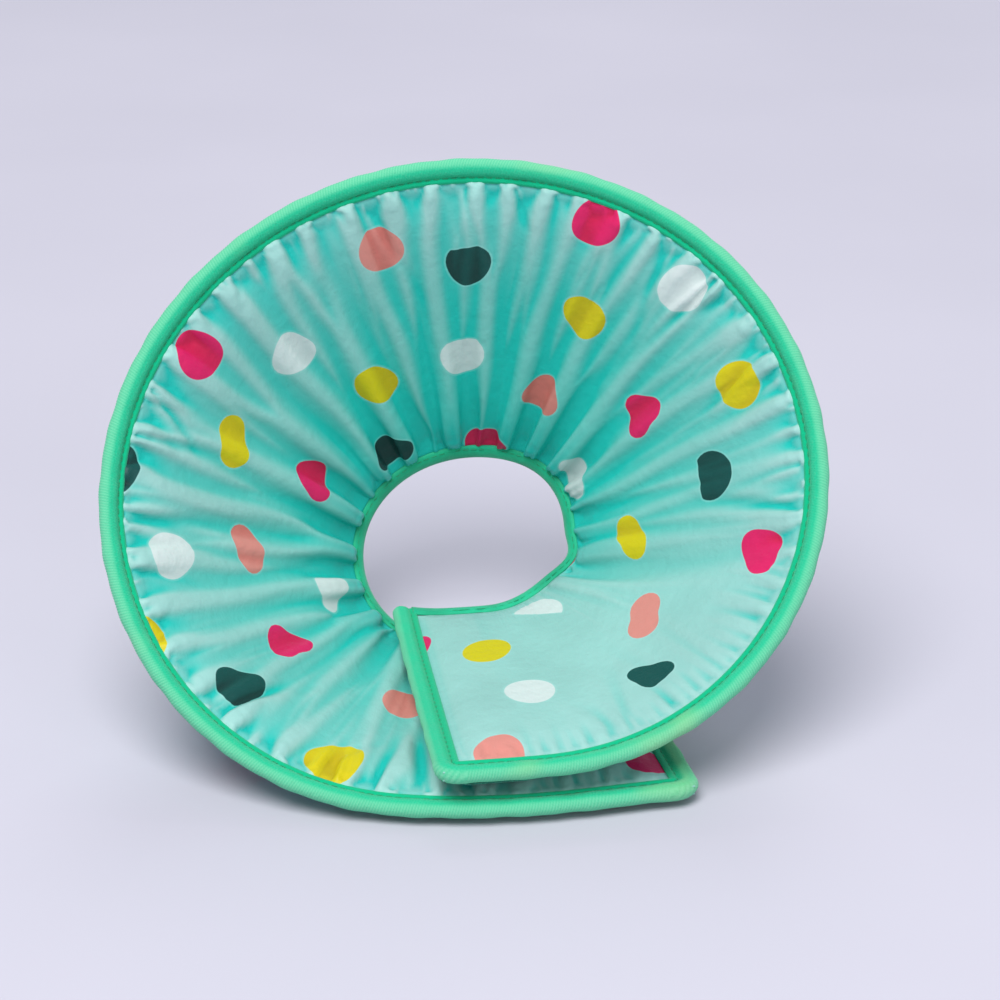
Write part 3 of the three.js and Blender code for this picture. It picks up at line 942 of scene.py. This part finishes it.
# sections of the folded tapes: distance in from the edge and height, in millimetres, from the fold to the
# sewn lip on one face, and back along the inside
RIM_FOLD = (
    (1.2, 0.0), (1.3, 0.7), (1.6, 1.4), (2.1, 2.05), (2.9, 2.5), (3.9, 2.7), (4.9, 2.65), (5.7, 2.4),
    (6.2, 2.1), (6.55, 1.85), (6.8, 1.8), (7.05, 1.95), (7.4, 2.25), (7.8, 2.38), (8.2, 2.35), (8.6, 2.2),
    (8.9, 2.0), (9.0, 1.8),
)
RIM_INSIDE = ((8.7, 1.7), (6.5, 1.6), (4.2, 1.6), (3.0, 1.0), (2.7, 0.0))
RIM_SEAM = (6.8, 1.9)
NECK_FOLD = (
    (-0.5, 0.0), (-0.4, 0.8), (0.0, 1.6), (0.7, 2.3), (1.8, 2.8), (3.0, 3.0), (4.1, 2.95), (4.9, 2.75),
    (5.5, 2.4), (5.7, 2.0),
)
NECK_INSIDE = ((5.3, 1.85), (3.0, 1.8), (1.5, 1.0), (1.2, 0.0))
NECK_SEAM = (4.3, 2.92)
STITCH_STEP = 0.0003
# the round corners of the rim start this far in from the tape's lip, and its ends close over this many mm
CORNER_START = 1.4 * MM
END_ROUNDING = 1.6


def tape_section(fold, inside):
    """A closed section: out along one face, round the fold, along the other face and back inside."""
    mirror = [(inset, -height) for inset, height in fold[:0:-1]]
    back = [(inset, -height) for inset, height in inside[:-1]]
    return np.array([*mirror, *fold, *inside, *back[::-1]])


def edge_path(step):
    """Stations along the rim and its two ends: kind 0 on an end, 1 in a corner, 2 on the rim."""
    angle, across = columns(step, RIM_TAPE_WIDTH + CORNER_START)
    rim = [(2, a, c) for a, c in zip(angle, across)]
    turns = np.linspace(0, 1, 26)[1:-1]
    reach = RIM_RADIUS - RIM_TAPE_WIDTH - CORNER_START
    outs = np.linspace(reach, NECK_RADIUS + 0.4 * MM, round((reach - NECK_RADIUS) / step))
    over = [(1, 1 - t, 1) for t in turns] + [(0, out, 1) for out in outs]
    under = [(kind, value, -1) for kind, value, _ in reversed(over)]
    return under + rim + over


def edge_place(station, inset):
    """Distance out, column angle and length across for a station, at an inset from the edge."""
    kind, value, extra = station
    if kind == 2:
        return RIM_RADIUS - inset, value, extra
    column = SECTOR_END if extra > 0 else SECTOR_START
    if kind == 0:
        return value, column, extra * (TAB - inset)
    bend = max(CORNER_RADIUS - inset, 0.7 * MM)
    heading = value * math.pi / 2
    out = RIM_RADIUS - inset - bend + bend * math.sin(heading)
    across = TAB - inset - bend + bend * math.cos(heading)
    return out, column, extra * across


def section_normals(section):
    """Outward directions in the plane of a section."""
    along = np.roll(section, -1, axis=0) - np.roll(section, 1, axis=0)
    normals = np.stack((along[:, 1], -along[:, 0]), axis=-1)
    return normals / np.linalg.norm(normals, axis=1, keepdims=True)


def tape_widths(section):
    """Millimetres across the tape, from the first point of its section to each."""
    return np.cumsum(np.hypot(*np.diff(section, axis=0, prepend=section[:1]).T))


def rim_shape(section, run, ribbed):
    """The section at each place of run millimetres along the tape, with its ribs and soft unevenness."""
    across_tape = tape_widths(section)
    slant = 0.55 * (across_tape - across_tape.mean())
    phase = 2 * math.pi * (run[:, None] + slant[None, :] * 0.5) / (RIB_PITCH / MM)
    rib = 0.5 + 0.5 * np.cos(phase + 0.9 * np.sin(run / 9.0)[:, None])
    lumps = 0.10 * np.sin(run / 3.1)[:, None] + 0.08 * np.sin(run / 1.7 + 1.3)[:, None]
    swell = (rib - 0.5) * 0.14 + lumps
    outward = section_normals(section)
    shaped = section[None] + outward[None] * (swell * ribbed[None, :])[..., None]
    return shaped, rib * ribbed[None, :] + (1 - ribbed[None, :]) * 0.75


def tape_stretches(kind, place, section, shaped, run, column, attributes, material):
    """The four pieces of a tape whose shaped sections lie at place, run millimetres along it."""
    radius, angle = pattern_place(*place)
    points = roll(radius, angle, shaped[..., 1] * MM)
    points[..., 2] = np.maximum(points[..., 2], 0.0)
    uv = np.stack(np.broadcast_arrays(run[:, None], tape_widths(section)[None, :]), axis=-1) * MM
    cap = [tuple(range(len(section)))]
    loft_stretches(kind, points, uv, column, cap, attributes, material)


def make_rim_binding():
    """The ribbed tape round the rim and both ends, with round corners and closed ends."""
    section = tape_section(RIM_FOLD, RIM_INSIDE)
    ribbed = smooth_ramp((6.4 - section[:, 0]) / 1.0)
    ribbed[-2 * len(RIM_INSIDE) + 1:] = 0
    stations = edge_path(RIB_PITCH / 4)
    run = np.arange(len(stations)) * RIB_PITCH / 4 / MM
    shaped, rib = rim_shape(section, run, ribbed)
    closed = np.clip(END_ROUNDING - np.minimum(run, run[::-1]), 0, END_ROUNDING)
    ends = 1 - closed ** 2 / END_ROUNDING ** 2 * 0.98
    size = np.sqrt(ends)[:, None, None]
    shaped = shaped * size + np.array((RIM_TAPE_WIDTH / 2 / MM, 0)) * (1 - size)
    out, angle, across = np.empty((3, *shaped.shape[:2]))
    for i, station in enumerate(stations):
        for j, inset in enumerate(shaped[i, :, 0] * MM):
            out[i, j], angle[i, j], across[i, j] = edge_place(station, inset)
    place = (out, angle, across)
    # stations on the ends count as columns before the first and after the last
    column = np.array([s[1] if s[0] == 2 else (-99 if s[2] < 0 else 999) for s in stations], float)
    # lip goes from 0 at the fold to 1 at the sewn lip; the binding's material paints highlight and shade
    # along it
    attributes = {"rib": rib, "lip": np.broadcast_to(smooth_ramp((section[:, 0] - 0.8) / 6.4), rib.shape)}
    tape_stretches("rim_binding", place, section, shaped, run, column, attributes, RIM_TERRY)


def make_neck_binding():
    """The smooth tape folded over the neck's edge."""
    section = tape_section(NECK_FOLD, NECK_INSIDE)
    angle, across = columns(2.2 * MM, RIM_TAPE_WIDTH - 1.5 * MM)
    steps = np.hypot(np.radians(np.diff(angle)) * NECK_RADIUS, np.diff(across))
    run = np.concatenate(([0], np.cumsum(steps))) / MM
    uneven = 0.12 * np.sin(run / 2.3) + 0.10 * np.sin(run / 1.1 + 2.0) + 0.06 * np.sin(run / 5.7 + 1.0)
    swell = uneven[:, None] * smooth_ramp((section[:, 0] - 1.0) / 3.0)[None, :]
    shaped = section[None] + section_normals(section)[None] * swell[..., None]
    place = (NECK_RADIUS + shaped[..., 0] * MM, angle[:, None], across[:, None])
    tape_stretches("neck_binding", place, section, shaped, run, angle, {}, NECK_WEAVE)


# ---------------------------------------------------------------- stitches and fastening strips

THREAD_RADIUS = 0.00018
STITCH_PROFILE = (0.15, 0.75, 1.0, 1.0, 1.0, 1.0, 0.75, 0.15)
THREAD_SIDES = 6
# how far apart the patterns of two stitches' threads start
STITCH_SPACING = 0.003
STRIP_CORNER = 3.0
# heights of the strips' back, woven border and pile in millimetres
STRIP_BACK, STRIP_BASE, STRIP_PILE = 5.2, 5.6, 6.1


def thread_mesh(name, centres, ups):
    """Stitches as short closed threads: a row of places for each, and the cloth's normals there."""
    tangents = np.gradient(centres, axis=1)
    tangents /= np.linalg.norm(tangents, axis=-1, keepdims=True)
    sideways = np.cross(tangents, ups)
    turns = np.arange(THREAD_SIDES) * 2 * math.pi / THREAD_SIDES
    ring = np.cos(turns)[:, None] * ups[:, :, None] + np.sin(turns)[:, None] * sideways[:, :, None]
    size = THREAD_RADIUS * np.array(STITCH_PROFILE)
    points = centres[:, :, None] + ring * size[None, :, None, None]
    count, length = centres.shape[:2]
    index = np.arange(points.size // 3).reshape(count, length, THREAD_SIDES)
    after = np.roll(index, -1, axis=2)
    quads = np.stack((index[:, :-1], after[:, :-1], after[:, 1:], index[:, 1:]), axis=-1).reshape(-1, 4)
    ends = [*index[:, 0, ::-1].tolist(), *index[:, -1].tolist()]
    along = np.arange(length) * STITCH_STEP + np.arange(count)[:, None] * STITCH_SPACING
    uv = np.stack(np.broadcast_arrays(along[:, :, None], turns * THREAD_RADIUS), axis=-1)
    points = points.reshape(-1, 3)
    mesh, _ = new_mesh(name, points, [*quads.tolist(), *ends], uv)
    if signed_volume(points, quads) < 0:
        mesh.flip_normals()
    mesh.materials.append(THREAD)
    return new_piece(name, mesh)


def stitch_row(kind, radius, angle, column, height, period):
    """A stitch on each face from every period'th point of a path whose points are 0.3 mm apart."""
    length = len(STITCH_PROFILE)
    starts = np.arange(period, len(radius) - length - period, period)
    index = starts[:, None] + np.arange(length)
    number = np.searchsorted(CUTS, column[index[:, length // 2]])
    for part, stretch in enumerate(STRETCHES):
        here = index[number == part]
        faces = []
        for side in (1, -1):
            centres = roll(radius[here], angle[here], np.array(side * height))
            above = roll(radius[here], angle[here], np.array(side * (height + MM)))
            faces.append((centres, (above - centres) / MM))
        centres = np.concatenate([face[0] for face in faces])
        ups = np.concatenate([face[1] for face in faces])
        centres[..., 2] = np.maximum(centres[..., 2], THREAD_RADIUS)
        piece = thread_mesh(f"{kind}_{stretch}", centres, ups)
        bend_over_hinge(piece, part)


def make_rim_stitches():
    """The seam in the rim tape's groove, along the rim and both ends."""
    stations = edge_path(STITCH_STEP)
    places = np.array([edge_place(station, RIM_SEAM[0] * MM) for station in stations])
    radius, angle = pattern_place(places[:, 0], places[:, 1], places[:, 2])
    stitch_row("rim_stitches", radius, angle, places[:, 1], RIM_SEAM[1] * MM, 10)


def make_neck_stitches():
    """The seam near the neck tape's lip."""
    angle, across = columns(STITCH_STEP * RIM_RADIUS / NECK_RADIUS, RIM_TAPE_WIDTH)
    radius, turned_angle = pattern_place(NECK_RADIUS + NECK_SEAM[0] * MM, angle, across)
    stitch_row("neck_stitches", radius, turned_angle, angle, NECK_SEAM[1] * MM, 9)


def rounded(value, middle, half, other, other_middle, other_half):
    """A place in a rectangle, pulled in where it lies outside the rectangle's round corners."""
    reach = np.maximum(np.abs(value - middle) - half + STRIP_CORNER, 0)
    other_reach = np.maximum(np.abs(other - other_middle) - other_half + STRIP_CORNER, 0)
    shrink = np.minimum(1, STRIP_CORNER / np.maximum(np.hypot(reach, other_reach), 1e-9))
    return value - np.sign(value - middle) * reach * (1 - shrink)


def make_strip(kind, side, limits, body, material):
    """A fastening strip with rounded corners, a flat woven border and a raised pile."""
    start, near, far, low, high = limits
    columns_across = np.linspace(near, far, 2 * (far - near) + 1)
    rows_out = np.linspace(low, high, 2 * (high - low) + 1)
    across, out = np.meshgrid(columns_across, rows_out, indexing="ij")
    box_out = (low + high) / 2, (high - low) / 2
    box_across = (near + far) / 2, (far - near) / 2
    border_out = box_out[1] - np.abs(out - box_out[0])
    border_across = box_across[1] - np.abs(across - box_across[0])
    border = np.minimum(border_out, border_across)
    round_out = rounded(out, *box_out, across, *box_across)
    round_across = rounded(across, *box_across, out, *box_out)
    pile = smooth_ramp((border - 1.5) / 0.7)
    face = STRIP_BASE + (STRIP_PILE - STRIP_BASE) * pile + 0.10 * RNG.uniform(-1, 1, pile.shape) * pile
    radius, angle = pattern_place(round_out * MM, start, round_across * MM)
    points = sheet_loops(radius, angle, side * face, side * STRIP_BACK)
    uv = both_sides(flat_uv(radius, angle))
    piece = loft(kind, points, smooth_normals(points), uv, ladder_cap(points.shape[1]), {})
    piece.data.materials.append(material)
    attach(piece, body)
    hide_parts(kind)


# ---------------------------------------------------------------- camera, light and floor

LENS, SENSOR = 103.46, 36.0
CAMERA_DISTANCE = 1.026
CAMERA_ELEVATION, CAMERA_AZIMUTH = 22.8, -1.8
VIEW_RIGHT, VIEW_UP = 0.01307, 0.03356
CONE_MIDDLE = (0.0, 0.0, 0.07)
# the floor lies this far below the table plane, so that the collar's flat patch doesn't fight with it
FLOOR_HALF, FLOOR_GAP = 6.0, 0.0002


def make_camera():
    """Looks down at the mouth of the cone from the photographer's side."""
    elevation, azimuth = math.radians(CAMERA_ELEVATION), math.radians(CAMERA_AZIMUTH)
    right = np.array((math.cos(azimuth), math.sin(azimuth), 0.0))
    level = math.cos(elevation)
    forward = np.array((-math.sin(azimuth) * level, math.cos(azimuth) * level, -math.sin(elevation)))
    up = np.cross(right, forward)
    target = np.array((0.0, REST_DISTANCE, 0.0))
    data = bpy.data.cameras.new("camera")
    data.lens, data.sensor_width = LENS, SENSOR
    camera = new_piece("camera", data)
    camera.location = target + VIEW_RIGHT * right + VIEW_UP * up - CAMERA_DISTANCE * forward
    camera.rotation_euler = (math.pi / 2 - elevation, 0.0, azimuth)
    bpy.context.scene.camera = camera


def make_light(name, place, size, power, colour):
    """A round softbox that faces the middle of the cone."""
    data = bpy.data.lights.new(name, "AREA")
    data.shape = "DISK"
    data.size, data.energy, data.color = size, power, colour
    light = new_piece(name, data)
    light.location = place
    direction = np.array(place) - np.array(CONE_MIDDLE)
    yaw = math.atan2(direction[0], -direction[1])
    tilt = math.atan2(math.hypot(direction[0], direction[1]), direction[2])
    light.rotation_euler = (tilt, 0.0, yaw)


def make_floor():
    """A plain floor of pale, slightly mottled paper."""
    mesh = bpy.data.meshes.new("floor")
    half = FLOOR_HALF
    corners = [(-half, -half, 0), (half, -half, 0), (half, half, 0), (-half, half, 0)]
    mesh.from_pydata(corners, [], [(0, 1, 2, 3)])
    floor = new_piece("floor", mesh)
    floor.location.z = -FLOOR_GAP
    nodes = Nodes("floor_paper")
    mottle = nodes.noise(nodes.place(1.0), 3.0, 3.0)
    colour = nodes.mix(nodes.ramp(mottle, 0.3, 0.7), (0.515, 0.508, 0.590, 1.0), (0.540, 0.532, 0.615, 1.0))
    mesh.materials.append(nodes.finish(Base_Color=colour, Roughness=0.85, Specular_IOR_Level=0.2))


def make_world():
    """An even, faintly blue surrounding light."""
    world = bpy.data.worlds.new("studio")
    world.use_nodes = True
    background = world.node_tree.nodes["Background"]
    background.inputs["Color"].default_value = (0.86, 0.88, 1.0, 1.0)
    background.inputs["Strength"].default_value = 0.38
    bpy.context.scene.world = world
    bpy.context.scene.view_settings.view_transform = "Standard"


make_camera()
make_world()
make_floor()
make_light("high_softbox", (-0.5, -1.4, 2.8), 2.2, 108.0, (1.0, 0.99, 0.97))
make_light("side_softbox", (1.3, -1.8, 1.0), 1.2, 9.0, (1.0, 1.0, 1.0))
make_light("back_softbox", (0.2, 1.7, 1.7), 1.2, 14.0, (1.0, 1.0, 1.0))

COVER_STEP = 0.85 * MM
make_cover("inner_cover", 1, INNER_SATIN, COVER_STEP, 0.0, False)
make_cover("outer_cover", -1, OUTER_SATIN, COVER_STEP, 3.0, True)
make_filling("foam_sheet", -2.2, -0.6, FOAM, 0.0)
make_filling("wadding", -0.4, 1.5, WADDING, 0.15)
make_rim_binding()
make_neck_binding()
make_rim_stitches()
make_neck_stitches()
make_strip("loop_strip", 1, LOOP_STRIP, "base", LOOP_PILE)
make_strip("hook_strip", -1, HOOK_STRIP, "flap", HOOK_PILE)
